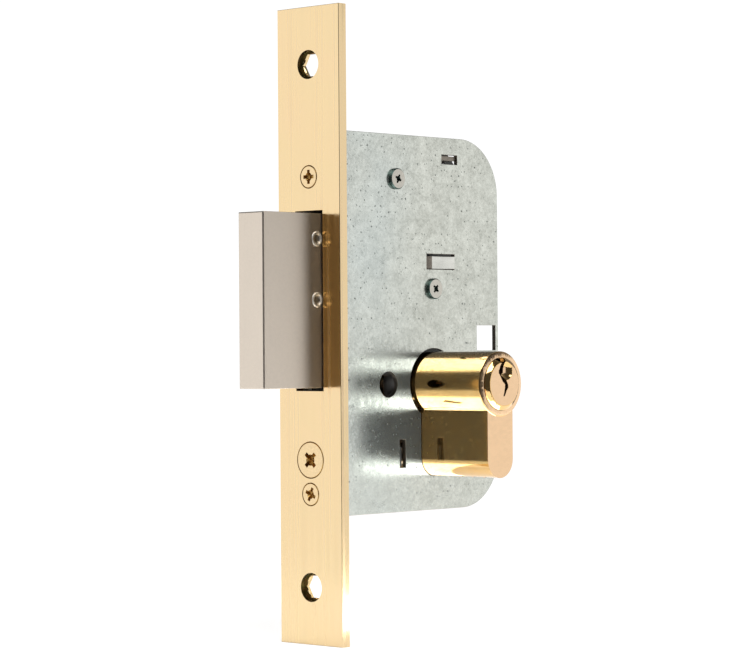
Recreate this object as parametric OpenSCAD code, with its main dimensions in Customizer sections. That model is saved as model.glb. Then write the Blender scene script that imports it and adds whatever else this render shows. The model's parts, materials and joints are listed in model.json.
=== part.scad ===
// Mortise deadlock with a double profile cylinder.
// Origin: on the cylinder axis, in the middle of the case's thickness.
// +X runs into the door, +Z is up, the near side of the door is -Y.
// The bolt stands fully thrown; 0 on every joint is this position.

/* [Faceplate] */
// Width of the faceplate
plate_w = 22; // [20:0.5:26]
// Thickness of the faceplate
plate_t = 2.7; // [2.6:0.1:3.5]
// Height of the faceplate's top end above the cylinder axis
plate_above = 97.5; // [95:0.5:110]
// Depth of its bottom end below the cylinder axis
plate_below = 66.5; // [64:0.5:80]
// Chamfer round the faceplate's front
plate_chamfer = 0.1; // [0.1:0.05:0.5]
// Height of the upper fixing hole
fixing_above = 82.6; // [80:0.2:90]
// Depth of the lower fixing hole
fixing_below = 51.8; // [48:0.2:58]
// Hexagonal fixing hole, across its flats
fixing_flats = 5.7; // [4.5:0.1:5.8]
// Rim of the fixing hole's countersink, diameter
fixing_rim = 7.5; // [7:0.1:9]
// Depth of the countersink's straight part
fixing_sink = 1.1; // [0.5:0.1:1.4]

/* [Case] */
// Front face of the faceplate to the cylinder axis
backset = 40; // [38:0.5:60]
// Overall thickness of the case
case_t = 14; // [13.5:0.1:16]
// Sheet of the case plate and the cover
sheet = 1.2; // [1:0.1:1.5]
// Height of the case's top edge
case_above = 65.6; // [65:0.2:72]
// Depth of the case's bottom edge
case_below = 33.5; // [31:0.2:40]
// Rear edge of the case behind the cylinder axis
case_rear = 26.4; // [26:0.2:32]
// Radius of the two rear corners
corner_r = 15; // [8:0.5:18]
// Thickness of the bar behind the faceplate
forend_t = 3; // [2.5:0.1:3.5]
// Height of the bar's tabs in the plates
forend_tab = 6; // [4:0.5:8]
// Round hole beside the cylinder, diameter
side_hole_d = 6.8; // [6:0.1:7.5]
// Its distance in front of the cylinder axis
side_hole_x = 17.8; // [16:0.1:20]
// Rear window, length along the case
window_l = 7.7; // [6:0.1:8]
// Rear window, height
window_h = 6.8; // [5:0.1:7.5]
// Sheet left between the window and the rear edge
window_edge = 1.1; // [1:0.1:2]
// Underside of the rear window
window_low = 8.7; // [8:0.1:10]

/* [Lugs and lanced tab] */
// Top lug, length
lug_l = 5.9; // [4:0.1:6]
// Top lug, underside below the case's top edge
lug_drop = 6; // [5.6:0.1:6.6]
// Top lug, front end
lug_x = 3.75; // [3:0.05:4.5]
// Screw lug, face towards the faceplate, in front of the axis
screw_lug_x = 13.5; // [12.5:0.1:14.5]
// Screw lug, height of the part the screw passes
screw_lug_h = 9.2; // [8.5:0.1:11]
// Screw lug, height of its end in the cover
screw_lug_end = 5; // [4:0.1:5.5]
// How far a lug's end stays below the cover's outer face
lug_recess = 0.6; // [0.1:0.1:0.8]
// Window of the lanced tab, length
tab_l = 11.2; // [9:0.1:12]
// Window of the lanced tab, height
tab_h = 4.1; // [3.5:0.1:5]
// Window of the lanced tab, lower edge
tab_z = 30.4; // [29:0.1:31]
// Root of the lanced tab behind the cylinder axis
tab_root = 8.6; // [8:0.1:10]
// Depth to which the tab is pressed in
tab_depth = 0.9; // [0.5:0.05:1.3]
// Length of the tab's slope
tab_slope = 3.6; // [2.5:0.1:5]
// Slot in the cover past the rear face of the top lug
lug_slot_past = 0.3; // [0.2:0.1:1.5]
// Slot in the cover past the rear face of the screw lug
screw_slot_past = 1; // [0.5:0.1:1.5]
// Slot in the cover below the top lug
lug_slot_under = 1; // [0.3:0.1:1.5]
// Slot in the cover above the screw lug
screw_slot_over = 2.1; // [0.5:0.1:2.5]
// Window left open past the tab's end
tab_relief = 3.2; // [1:0.1:3.5]
// Slit above the tab
tab_slit_top = 0.6; // [0.2:0.05:0.6]
// Slit below the tab
tab_slit_low = 0.15; // [0.1:0.05:0.6]

/* [Bolt] */
// Thickness of the bolt head
bolt_t = 9; // [8:0.05:9.1]
// Top face of the bolt head below the case's top edge
bolt_drop = 21.5; // [21.1:0.1:22.6]
// Depth of its bottom face
bolt_below = 0.5; // [0:0.1:2]
// Throw of the bolt
throw = 21; // [19:0.5:21]
// Length of the bolt head
head_l = 30; // [28:0.5:30]
// Chamfer round the end of the bolt head
head_chamfer = 0.3; // [0.2:0.1:1]
// Thickness of the tail plate
tail_t = 3; // [2.5:0.1:3.2]
// Top edge of the tail plate below the head's top face
tail_drop = 2.6; // [2.1:0.1:3.6]
// Gap between the cam's ring and the tail plate
tail_ring_gap = 0.5; // [0.3:0.1:0.6]
// Tail plate left past its slot for the lower post
tail_rim = 2.3; // [2:0.1:3]
// Length of the tail plate inside the head
tail_grip = 15; // [13:0.5:17]
// Shank of a bolt rivet, diameter
rivet_d = 3.6; // [3:0.1:4]
// Domed end of a bolt rivet, diameter
rivet_head_d = 4.2; // [4.1:0.1:5]
// Height of a rivet's domed end
rivet_dome = 0.25; // [0.1:0.05:0.25]
// Rivets behind the faceplate's front face, thrown
rivet_back = -1.65; // [-3:0.05:-1]
// Lower rivet above the bolt head's bottom face
rivet_low = 22.5; // [20:0.1:24]
// Upper rivet below its top face
rivet_high = 6.5; // [6:0.1:8]
// Stump pin, diameter
stump_d = 4; // [3:0.1:4.2]
// Stump pin below the bolt head's top face
stump_drop = 7.1; // [6.9:0.1:7.6]
// Stump pin in front of the cylinder axis, thrown
stump_x = 3.5; // [2:0.1:5]

/* [Tumbler] */
// Thickness of the tumbler plate
tumbler_t = 2.4; // [2:0.1:2.5]
// Free lift above its working height
over_lift = 1.5; // [1:0.1:1.5]
// Drop that locks the bolt
tumbler_drop = 2.5; // [2:0.1:2.5]
// Half the length of the curved lower edge
belly_half = 9.4; // [8:0.1:9.4]
// Sheet left round a slot of the tumbler
tumbler_rim = 2.6; // [2:0.1:3]
// Gap between the tumbler's arm and the bolt head
arm_gap = 1.1; // [0.4:0.1:1.5]
// Length of the tumbler spring between its two seats
seat_drop = 9.1; // [8.6:0.1:10.6]
// Half the width of the edge that the spring stands on
seat_half = 3; // [2.8:0.1:4]
// Peg inside the spring, half its width
peg_half = 0.9; // [0.6:0.1:1.2]
// Peg inside the spring, height
peg_h = 2.5; // [1:0.1:3]
// Wire of the tumbler spring, diameter
spring_wire = 0.6; // [0.4:0.1:0.6]
// Outer diameter of the tumbler spring
spring_d = 4.4; // [4.2:0.1:4.8]
// Turns of the tumbler spring
spring_turns = 6; // [4:1:8]

/* [Cylinder] */
// Half the length of the cylinder
cyl_half = 30; // [30:0.5:40]
// Diameter of the round part of the profile
cyl_d = 17; // [17:0.1:17.4]
// Width of the lower leg of the profile
leg_w = 10; // [9.8:0.1:10.4]
// Bottom of the leg below the axis
leg_depth = 24.5; // [24.5:0.1:26]
// Diameter of a plug
plug_d = 13; // [12.6:0.1:13]
// Diameter of a plug's head
plug_head_d = 13.7; // [13.5:0.1:14]
// Length of the head inside the housing
plug_head_l = 1.2; // [1:0.1:1.5]
// Height of a plug's face outside the housing
plug_face_h = 1.6; // [1.2:0.1:2]
// Height of the straight rim below the face's bevel
plug_rim_h = 0.75; // [0.5:0.05:1]
// Diameter of the flat face
plug_face_d = 11.2; // [10.5:0.1:12]
// Radius of the hollow beside the keyway's mouth
dish_r = 2.6; // [2:0.1:3]
// Depth of that hollow
dish_depth = 0.9; // [0.5:0.1:1.2]
// Middle of that hollow beside the cylinder axis
dish_x = 0.6; // [0:0.1:1]
// Middle of that hollow above the cylinder axis
dish_z = 3.5; // [3:0.1:3.8]
// Height of the turned ring round a plug
ring_h = 0.45; // [0.3:0.05:0.7]
// Width and height of the bevel at that ring's edge
ring_edge = 0.25; // [0.1:0.05:0.3]
// Diameter of a plug's inner end
stub_d = 12; // [11.6:0.1:12.2]
// Half the width of the gap that the cam turns in
gap_half = 5.05; // [4.9:0.05:5.2]
// Depth of that gap below the axis
gap_below = 15.6; // [15.5:0.1:16]
// Number of pins in each half
pins = 5; // [3:1:5]
// Distance from one pin to the next
pin_pitch = 4; // [3.8:0.1:4.2]
// First pin from the middle of the cylinder
pin_first = 10; // [9:0.1:10.5]
// Diameter of a pin
pin_d = 2.8; // [2.6:0.1:3]
// Length of a driver pin
driver_l = 4; // [3.5:0.1:5]
// Thickness of a chamber cap
cap_t = 1.4; // [1:0.1:2]
// Wire of a pin spring, diameter
pin_wire = 0.36; // [0.3:0.02:0.4]
// Turns of a pin spring
pin_turns = 6; // [4:1:8]

/* [Cam] */
// Tip radius of the cam nose
cam_tip = 15.1; // [14.9:0.05:15.2]
// Outer diameter of the cam's ring
cam_ring_d = 15.8; // [15.2:0.1:15.9]
// Width of the cam along the axis
cam_w = 8.4; // [8:0.1:8.5]
// Half the width of the nose at its tip
nose_tip = 3; // [2.5:0.1:3.2]
// Half the width of the nose at the ring
nose_root = 4; // [3.5:0.1:4.2]
// Half the angle that the nose swings through
swing = 44.05; // [43:0.05:45]
// Thickness of a circlip
circlip_t = 0.65; // [0.5:0.05:0.7]
// Outer diameter of a circlip
circlip_d = 14.4; // [14:0.1:14.8]

/* [Screws and posts] */
// Faceplate screws, thread diameter
face_screw_d = 3; // [2.5:0.1:3.5]
// Faceplate screws, head diameter
face_head_d = 5.7; // [5.4:0.1:6.2]
// How far a faceplate screw's head stands out
face_screw_proud = 0.05; // [0:0.05:0.5]
// Faceplate screws, width of the cross
face_cross = 3.6; // [2.6:0.1:4]
// How far the lower faceplate screw's cross is turned
face_cross_turn = 23; // [0:1:90]
// Upper faceplate screw below the case's top edge
face_screw_drop = 11.9; // [10:0.1:13]
// Lower faceplate screw above the case's bottom edge
face_screw_rise = 5.6; // [4.5:0.1:6]
// Faceplate screws' ends past the bar
face_screw_past = 1; // [0.5:0.1:2]
// Cylinder screw, thread diameter
cyl_screw_d = 5; // [4.8:0.1:5]
// Cylinder screw, head diameter
cyl_head_d = 9.2; // [9:0.1:9.6]
// How far the cylinder screw's head stands out
cyl_screw_proud = 0.05; // [0:0.05:0.5]
// Cylinder screw, width of the cross
cyl_cross = 4.6; // [3.5:0.1:5.5]
// How far its cross is turned
cyl_cross_turn = 45; // [0:1:90]
// Cylinder screw's end inside the leg's far side
cyl_screw_short = 1; // [0.5:0.1:2]
// Cylinder screw below the axis
cyl_screw_below = 19.1; // [19:0.1:19.4]
// Cover screws, thread diameter
cover_screw_d = 3; // [2.5:0.1:3.2]
// Cover screws, head diameter
cover_head_d = 5.5; // [5:0.1:6]
// Cover screws, height of the head
cover_head_h = 1; // [0.8:0.1:1.6]
// Cover screws, width of the cross
cover_cross = 2.4; // [2:0.1:3]
// Cover screws, depth of the cross
cover_cross_deep = 1.3; // [1:0.1:1.6]
// Cover screws, length in their posts
cover_screw_l = 7; // [5:0.1:8]
// Diameter of a post where plates ride on it
post_d = 5; // [4.6:0.1:5]
// Diameter of a post's shoulder
shoulder_d = 8; // [7:0.1:8.4]
// Upper post in front of the cylinder axis
upper_post_x = 14.5; // [14:0.1:15.5]
// Upper post below the case's top edge
upper_post_drop = 11.7; // [11:0.1:12]
// Height of the lower post
lower_post_z = 25.2; // [25:0.1:25.4]
// Riveted end of a post in the case plate, diameter
tenon_d = 3.6; // [3.4:0.1:4]
// Closed head of that rivet, diameter
tenon_head_d = 5.2; // [4.6:0.1:6]
// Height of that head
tenon_head_h = 0.5; // [0.3:0.1:0.8]
// Bottom of a post's threaded hole, past the middle of the case
post_hole_end = 3; // [2:0.1:4]

/* [Clearances] */
// Running fit of a turning part, on the radius
run_fit = 0.05; // [0.02:0.01:0.08]
// Fit of a screw in its thread, on the radius
thread_fit = 0.05; // [0.02:0.01:0.08]
// Fit of a pressed or riveted part, on the radius
press_fit = 0.01; // [0.005:0.005:0.02]
// Gap of a part that slides or is set in with play
slide_gap = 0.1; // [0.05:0.05:0.15]
// Gap between parts that pass each other
pass_gap = 0.3; // [0.2:0.05:0.3]
// Gap round a countersunk head in its seat
seat_gap = 0.2; // [0.1:0.05:0.3]
// Gap at each side of the bolt in the faceplate
bolt_side_gap = 0.4; // [0.35:0.01:0.6]
// Gap above and below the bolt in the faceplate
bolt_end_gap = 0.9; // [0.4:0.1:1.2]
// Gap round the cylinder's round part in the plates
cutout_gap = 0.9; // [0.2:0.1:1.2]

/* [Hidden] */

$fn = 96;
eps = 0.01;
brass = [0.93, 0.82, 0.62];
polished_brass = [0.90, 0.76, 0.45];
zinc = [0.82, 0.84, 0.80];
steel = [0.62, 0.60, 0.56];
dark_steel = [0.42, 0.42, 0.42];

// Straight rim of a countersunk seat
seat_rim = 0.2;
// Chamfers at the rims of the screws' heads
head_edge = 0.15;
pan_edge = 0.25;
// Gap that keeps two parts that touch apart
touch_gap = 0.02;
// Heights that hang on the case's two edges
bolt_above = case_above - bolt_drop;
tail_above = bolt_above - tail_drop;
stump_z = bolt_above - stump_drop;
rivet_z = [-bolt_below + rivet_low, bolt_above - rivet_high];
lug_z = case_above - lug_drop;
seat_z = lug_z - seat_drop;
upper_post_z = case_above - upper_post_drop;
face_screw_above = case_above - face_screw_drop;
face_screw_below = case_below - face_screw_rise;
// Planes along X
front_x = -backset;
back_x = front_x + plate_t;
forend_x = back_x + forend_t;
// Planes along Y
case_y = case_t / 2;
inner_y = case_y - sheet;
tail_y = tail_t / 2;
tumbler_back = -tail_y - pass_gap;
tumbler_front = tumbler_back - tumbler_t;
// Bolt, thrown
bolt_x = front_x - throw;
head_rear = bolt_x + head_l;
tail_front = head_rear - tail_grip;
tail_low = cam_ring_d / 2 + tail_ring_gap;
post_r = post_d / 2;
post_slot = post_r + slide_gap;
tail_rear = post_slot + tail_rim;
// Tumbler
stump_r = stump_d / 2;
gate_low = stump_z - stump_r - over_lift - pass_gap;
gate_high = stump_z + stump_r + pass_gap;
gate_front = -stump_x - stump_r - pass_gap;
gate_rear = -stump_x + throw + stump_r + pass_gap;
gate_end = 2 * (stump_r + pass_gap);
belly_r = cam_tip + pass_gap;
arm_low = bolt_above + arm_gap;
// Cylinder
cyl_r = cyl_d / 2;
leg_half = leg_w / 2;
plug_r = plug_d / 2;
bore_r = plug_r + run_fit;
stub_r = stub_d / 2;
stub_end = 2.2;
pin_r = pin_d / 2;
chamber_r = pin_r + slide_gap;
pin_y = [for (i = [0:pins - 1]) pin_first + i * pin_pitch];
// Tops of the key pins, as the right key would hold them
key_cuts = [-2.9, -1.9, -2.4, -1.4, -2.1];
key_pin_low = -plug_r + 0.2;
shear_gap = 0.06;
driver_top = -bore_r - shear_gap;
pin_bore_end = -1.2;
cap_sunk = 0.3;
cap_top = -leg_depth + cap_sunk + cap_t;
// Circlip and its groove in the plug's inner end
groove_r = stub_r - 0.6;
circlip_out = gap_half - 0.07;
circlip_play = 0.1;
// Clutch: disc, lugs in the cam's keyways, tongue in the near plug
clutch_r = stub_r - slide_gap;
clutch_gap = 0.2;
clutch_idle = 0.8;
clutch_lug = 1.4;
keyway_wall = 0.8;
tongue_l = 1.5;
tongue_half = 1.5;
tongue_short = 0.6;

// A block between two corners
module block(x, y, z) {
    translate([x[0], y[0], z[0]])
        cube([x[1] - x[0], y[1] - y[0], z[1] - z[0]]);
}

// A cylinder along X, Y or Z between two places on its axis
module rod_x(x, y, z, r) {
    translate([x[0], y, z]) rotate([0, 90, 0])
        cylinder(h = x[1] - x[0], r = r);
}
module rod_y(x, y, z, r) {
    translate([x, y[1], z]) rotate([90, 0, 0])
        cylinder(h = y[1] - y[0], r = r);
}
module rod_z(x, y, z, r) {
    translate([x, y, z[0]]) cylinder(h = z[1] - z[0], r = r);
}

// A slot with round ends, along X or Z, cut through in Y
module slot_x(x, y, z, r) {
    rod_y(x[0] + r, y, z, r);
    rod_y(x[1] - r, y, z, r);
    block([x[0] + r, x[1] - r], y, [z - r, z + r]);
}
module slot_z(x, y, z, r) {
    rod_y(x, y, z[0] + r, r);
    rod_y(x, y, z[1] - r, r);
    block([x - r, x + r], y, [z[0] + r, z[1] - r]);
}

// An outline in X and Z, given its thickness in Y
module plate_xz(y, points) {
    translate([0, y[1], 0]) rotate([90, 0, 0])
        linear_extrude(height = y[1] - y[0]) polygon(points);
}

// Cross recess of a screw, cut into a face that looks along -Z
module cross_recess(span, depth) {
    arm = span * 0.24;
    for (a = [0, 90]) rotate([0, 0, a])
        translate([-span / 2, -arm / 2, -eps]) cube([span, arm, depth * 0.7]);
    translate([0, 0, -eps]) cylinder(h = depth, r1 = span * 0.32, r2 = arm * 0.3);
}

// A countersunk screw along +Z in a seat whose rim is at 0
module countersunk_screw(length, thread_d, head_d, proud, cross, turn) {
    shank_r = thread_d / 2 - thread_fit;
    head_r = head_d / 2;
    cone = head_r - shank_r;
    difference() {
        union() {
            translate([0, 0, -proud]) {
                cylinder(h = head_edge, r1 = head_r - head_edge, r2 = head_r);
                translate([0, 0, head_edge])
                    cylinder(h = proud + seat_rim - head_edge, r = head_r);
            }
            translate([0, 0, seat_rim]) cylinder(h = cone, r1 = head_r, r2 = shank_r);
            translate([0, 0, seat_rim + cone])
                cylinder(h = length - seat_rim - cone, r = shank_r);
        }
        translate([0, 0, -proud]) rotate([0, 0, turn])
            cross_recess(cross, cross * 0.4);
    }
}

// The seat of that screw, wider than its head by a named gap
module countersink(head_d, thread_d, depth) {
    seat_r = head_d / 2 + seat_gap;
    hole_r = thread_d / 2 + slide_gap;
    translate([0, 0, -eps]) cylinder(h = seat_rim + eps, r = seat_r);
    translate([0, 0, seat_rim - eps])
        cylinder(h = seat_r - hole_r, r1 = seat_r, r2 = hole_r);
    cylinder(h = depth, r = hole_r);
}

// Turns +Z to +X, as seen from the front of the faceplate
module from_front(x, z) {
    translate([x, 0, z]) rotate([0, 90, 0]) children();
}

// Profile of the cylinder, or of its cut-out when the gaps are given
module euro_profile(y, round_gap, leg_gap) {
    r = leg_half + leg_gap;
    rod_y(0, y, 0, cyl_r + round_gap);
    block([-r, r], y, [-leg_depth - leg_gap + r, 0]);
    rod_y(0, y, -leg_depth - leg_gap + r, r);
}

// Outline of the case with its two rear corners rounded
module case_outline(y) {
    inner_x = case_rear - corner_r;
    z = [-case_below, case_above];
    block([back_x, inner_x], y, z);
    block([back_x, case_rear], y, [z[0] + corner_r, z[1] - corner_r]);
    rod_y(inner_x, y, z[0] + corner_r, corner_r);
    rod_y(inner_x, y, z[1] - corner_r, corner_r);
}

// Holes that both side plates have
module plate_cuts(y) {
    through = [y[0] - eps, y[1] + eps];
    euro_profile(through, cutout_gap, slide_gap);
    rod_y(-side_hole_x, through, 0, side_hole_d / 2);
    block([case_rear - window_edge - window_l, case_rear - window_edge],
        through, [window_low, window_low + window_h]);
    for (z = [case_above, -case_below + forend_tab])
        block([back_x - eps, forend_x + slide_gap], through,
            [z - forend_tab * 1.5 - slide_gap, z - forend_tab * 0.5 + slide_gap]);
}

module faceplate() {
    color(brass) difference() {
        front_block([front_x, back_x], plate_w / 2, [-plate_below, plate_above],
            plate_chamfer);
        bolt_slot([front_x - eps, back_x + eps]);
        for (hole = [fixing_above, -fixing_below]) from_front(front_x, hole)
            fixing_hole();
        from_front(front_x, face_screw_above)
            countersink(face_head_d, face_screw_d, plate_t + eps);
        from_front(front_x, -face_screw_below)
            countersink(face_head_d, face_screw_d, plate_t + eps);
        from_front(front_x, -cyl_screw_below)
            countersink(cyl_head_d, cyl_screw_d, plate_t + eps);
    }
}

// A block between two corners whose front edges are chamfered
module front_block(x, half, z, c) {
    intersection() {
        translate([0, 0, z[0]]) linear_extrude(height = z[1] - z[0])
            polygon([[x[0], -half + c], [x[0] + c, -half], [x[1], -half],
                [x[1], half], [x[0] + c, half], [x[0], half - c]]);
        plate_xz([-half, half], [[x[0], z[0] + c], [x[0] + c, z[0]], [x[1], z[0]],
            [x[1], z[1]], [x[0] + c, z[1]], [x[0], z[1] - c]]);
    }
}

// Slot that the bolt head passes
module bolt_slot(x) {
    half = bolt_t / 2 + bolt_side_gap;
    block(x, [-half, half],
        [-bolt_below - bolt_end_gap, bolt_above + bolt_end_gap]);
}

// Hexagonal hole with a round countersunk rim, corners to both sides
module fixing_hole() {
    rim_r = fixing_rim / 2;
    translate([0, 0, -eps]) rotate([0, 0, 90])
        cylinder(h = plate_t + 2 * eps, d = fixing_flats / cos(30), $fn = 6);
    translate([0, 0, -eps]) cylinder(h = fixing_sink + eps, r = rim_r);
    translate([0, 0, fixing_sink - eps])
        cylinder(h = rim_r, r1 = rim_r, r2 = 0);
}

module forend_bar() {
    half = inner_y - slide_gap;
    color(steel) difference() {
        union() {
            block([back_x, forend_x], [-half, half], [-case_below, case_above]);
            for (z = [case_above, -case_below + forend_tab])
                block([back_x, forend_x], [-case_y, case_y],
                    [z - forend_tab * 1.5, z - forend_tab * 0.5]);
        }
        bolt_slot([back_x - eps, forend_x + eps]);
        for (z = [face_screw_above, -face_screw_below])
            rod_x([back_x - eps, forend_x + eps], 0, z, face_screw_d / 2);
        rod_x([back_x - eps, forend_x + eps], 0, -cyl_screw_below,
            cyl_screw_d / 2 + pass_gap);
    }
}

// Far side plate with the two lugs bent out of it
module case_plate() {
    y = [inner_y, case_y];
    lug_end = -case_y + lug_recess;
    reach = inner_y - lug_end;
    lug_face = -screw_lug_x;
    screw_z = -cyl_screw_below;
    half_h = screw_lug_h / 2;
    color(zinc) {
        difference() {
            case_outline(y);
            plate_cuts(y);
            for (p = [[-upper_post_x, upper_post_z], [0, lower_post_z]])
                rod_y(p[0], [inner_y - eps, case_y + eps], p[1],
                    tenon_d / 2 + press_fit);
            block([lug_x - slide_gap, lug_x + lug_l + slide_gap],
                [inner_y - eps, case_y + eps], [lug_z - reach, lug_z]);
            block([lug_face - reach, lug_face], [inner_y - eps, case_y + eps],
                [screw_z - half_h - slide_gap, screw_z + half_h + slide_gap]);
        }
        block([lug_x, lug_x + lug_l], [lug_end, case_y], [lug_z, lug_z + sheet]);
        difference() {
            union() {
                block([lug_face, lug_face + sheet], [-inner_y + pass_gap, case_y],
                    [screw_z - half_h, screw_z + half_h]);
                block([lug_face, lug_face + sheet], [lug_end, 0],
                    [screw_z - screw_lug_end / 2, screw_z + screw_lug_end / 2]);
            }
            rod_x([lug_face - eps, lug_face + sheet + eps], 0, screw_z,
                cyl_screw_d / 2 + pass_gap);
        }
    }
}

// Near side plate with its slots, window and lanced tab
module case_cover() {
    y = [-case_y, -inner_y];
    through = [-case_y - eps, -inner_y + eps];
    tab_end = tab_root - tab_l + tab_relief;
    color(zinc) {
        difference() {
            case_outline(y);
            plate_cuts(y);
            for (p = [[-upper_post_x, upper_post_z], [0, lower_post_z]])
                rod_y(p[0], through, p[1], cover_screw_d / 2 + slide_gap);
            block([lug_x - slide_gap, lug_x + lug_l + lug_slot_past], through,
                [lug_z - lug_slot_under, lug_z + sheet + pass_gap]);
            block([-screw_lug_x - slide_gap, -screw_lug_x + sheet + screw_slot_past],
                through, [-cyl_screw_below - screw_lug_end / 2 - pass_gap,
                    -cyl_screw_below + screw_lug_end / 2 + screw_slot_over]);
            block([tab_root - tab_l, tab_root], through, [tab_z, tab_z + tab_h]);
        }
        translate([0, 0, tab_z + tab_slit_low])
            linear_extrude(height = tab_h - tab_slit_low - tab_slit_top) polygon([
                [tab_root, -case_y], [tab_root, -inner_y],
                [tab_root - tab_slope, -inner_y + tab_depth],
                [tab_end, -inner_y + tab_depth], [tab_end, -case_y + tab_depth],
                [tab_root - tab_slope, -case_y + tab_depth]]);
    }
}

// A post riveted in the case plate and threaded for its cover screw
module post(x, z, shoulder_y) {
    difference() {
        union() {
            rod_y(x, [-inner_y, inner_y], z, post_r);
            rod_y(x, [shoulder_y, inner_y], z, shoulder_d / 2);
            rod_y(x, [inner_y - eps, case_y], z, tenon_d / 2);
            rod_y(x, [case_y, case_y + tenon_head_h], z, tenon_head_d / 2);
        }
        rod_y(x, [-inner_y - eps, post_hole_end], z, cover_screw_d / 2);
    }
}

module upper_post() {
    color(steel) post(-upper_post_x, upper_post_z, tumbler_back + slide_gap);
}

module lower_post() {
    color(steel) post(0, lower_post_z, tail_y + slide_gap);
}

module cover_screws() {
    color(zinc) for (p = [[-upper_post_x, upper_post_z, 25], [0, lower_post_z, 40]])
        translate([p[0], -case_y - cover_head_h, p[1]]) rotate([-90, p[2], 0])
            pan_screw(cover_head_h + sheet + cover_screw_l);
}

// A low round head with a chamfered edge on a plain shank, along +Z
module pan_screw(length) {
    head_r = cover_head_d / 2;
    difference() {
        union() {
            cylinder(h = pan_edge, r1 = head_r - pan_edge, r2 = head_r);
            translate([0, 0, pan_edge])
                cylinder(h = cover_head_h - pan_edge, r = head_r);
            cylinder(h = length, r = cover_screw_d / 2 - thread_fit);
        }
        cross_recess(cover_cross, cover_cross_deep);
    }
}

module faceplate_screws() {
    length = plate_t + forend_t + face_screw_past;
    color(brass) {
        from_front(front_x, face_screw_above)
            countersunk_screw(length, face_screw_d, face_head_d, face_screw_proud,
                face_cross, 0);
        from_front(front_x, -face_screw_below)
            countersunk_screw(length, face_screw_d, face_head_d, face_screw_proud,
                face_cross, face_cross_turn);
    }
}

module cylinder_screw() {
    color(brass) from_front(front_x, -cyl_screw_below)
        countersunk_screw(backset + leg_half - cyl_screw_short, cyl_screw_d, cyl_head_d,
            cyl_screw_proud, cyl_cross, cyl_cross_turn);
}

module bolt_head() {
    half = bolt_t / 2;
    color(steel) difference() {
        front_block([bolt_x, head_rear], half, [-bolt_below, bolt_above],
            head_chamfer);
        block([tail_front - slide_gap, head_rear + eps],
            [-tail_y - press_fit, tail_y + press_fit],
            [tail_low - slide_gap, tail_above + slide_gap]);
        for (z = rivet_z) rod_y(front_x + rivet_back, [-half - eps, half + eps], z,
            rivet_d / 2 + press_fit);
    }
}

// Widest place of the cam nose at height h, as the tail plate sees it
function nose_edge(h, angle) = let (
        a = [nose_root * cos(angle) + tail_low * sin(angle),
            tail_low * cos(angle) - nose_root * sin(angle)],
        b = [nose_tip * cos(angle) + cam_tip * sin(angle),
            cam_tip * cos(angle) - nose_tip * sin(angle)])
    h > b[1] ? -throw : a[0] + (b[0] - a[0]) * (h - a[1]) / (b[1] - a[1]);
function notch_half(h) = pass_gap + max([for (i = [0:24])
    nose_edge(h, -swing + swing * i / 12) - throw * (i - 12) / 24]);

// Tail plate: rivet end, guide slot on the lower post, notch for the cam nose
module bolt_tail() {
    y = [-tail_y, tail_y];
    through = [-tail_y - eps, tail_y + eps];
    notch_x = -throw / 2;
    levels = [for (i = [0:7]) tail_low - 0.5 + i * (cam_tip - tail_low + 0.5) / 7];
    notch_top = cam_tip + pass_gap;
    bevel = 2;
    color(steel) difference() {
        plate_xz(y, [[tail_front, tail_low], [tail_rear - bevel, tail_low],
            [tail_rear, tail_low + bevel], [tail_rear, tail_above - bevel],
            [tail_rear - bevel, tail_above], [tail_front, tail_above]]);
        slot_x([-throw - post_slot - pass_gap, post_slot + pass_gap], through,
            lower_post_z, post_slot);
        plate_xz(through, concat(
            [for (h = levels) [notch_x + notch_half(h), h]],
            [[notch_x + nose_tip + pass_gap, notch_top],
                [notch_x - nose_tip - pass_gap, notch_top]],
            [for (i = [7:-1:0]) [notch_x - notch_half(levels[i]), levels[i]]]));
        for (z = rivet_z) rod_y(front_x + rivet_back, through, z,
            rivet_d / 2 + press_fit);
        rod_y(-stump_x, through, stump_z, stump_r + press_fit);
    }
}

// Two rivets through head and tail, with low domed ends
module bolt_rivets() {
    half = bolt_t / 2;
    dome_r = (pow(rivet_head_d / 2, 2) + pow(rivet_dome, 2)) / (2 * rivet_dome);
    color(steel) for (z = rivet_z) translate([front_x + rivet_back, 0, z])
        rotate([90, 0, 0]) {
            cylinder(h = 2 * half, d = rivet_d, center = true);
            for (side = [0, 1]) mirror([0, 0, side]) translate([0, 0, half])
                rotate_extrude() intersection() {
                    translate([0, rivet_dome - dome_r]) circle(r = dome_r);
                    square([rivet_head_d / 2, rivet_dome]);
                }
        }
}

module bolt_stump() {
    color(dark_steel)
        rod_y(-stump_x, [tumbler_front + run_fit, tail_y], stump_z, stump_r);
}

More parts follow.
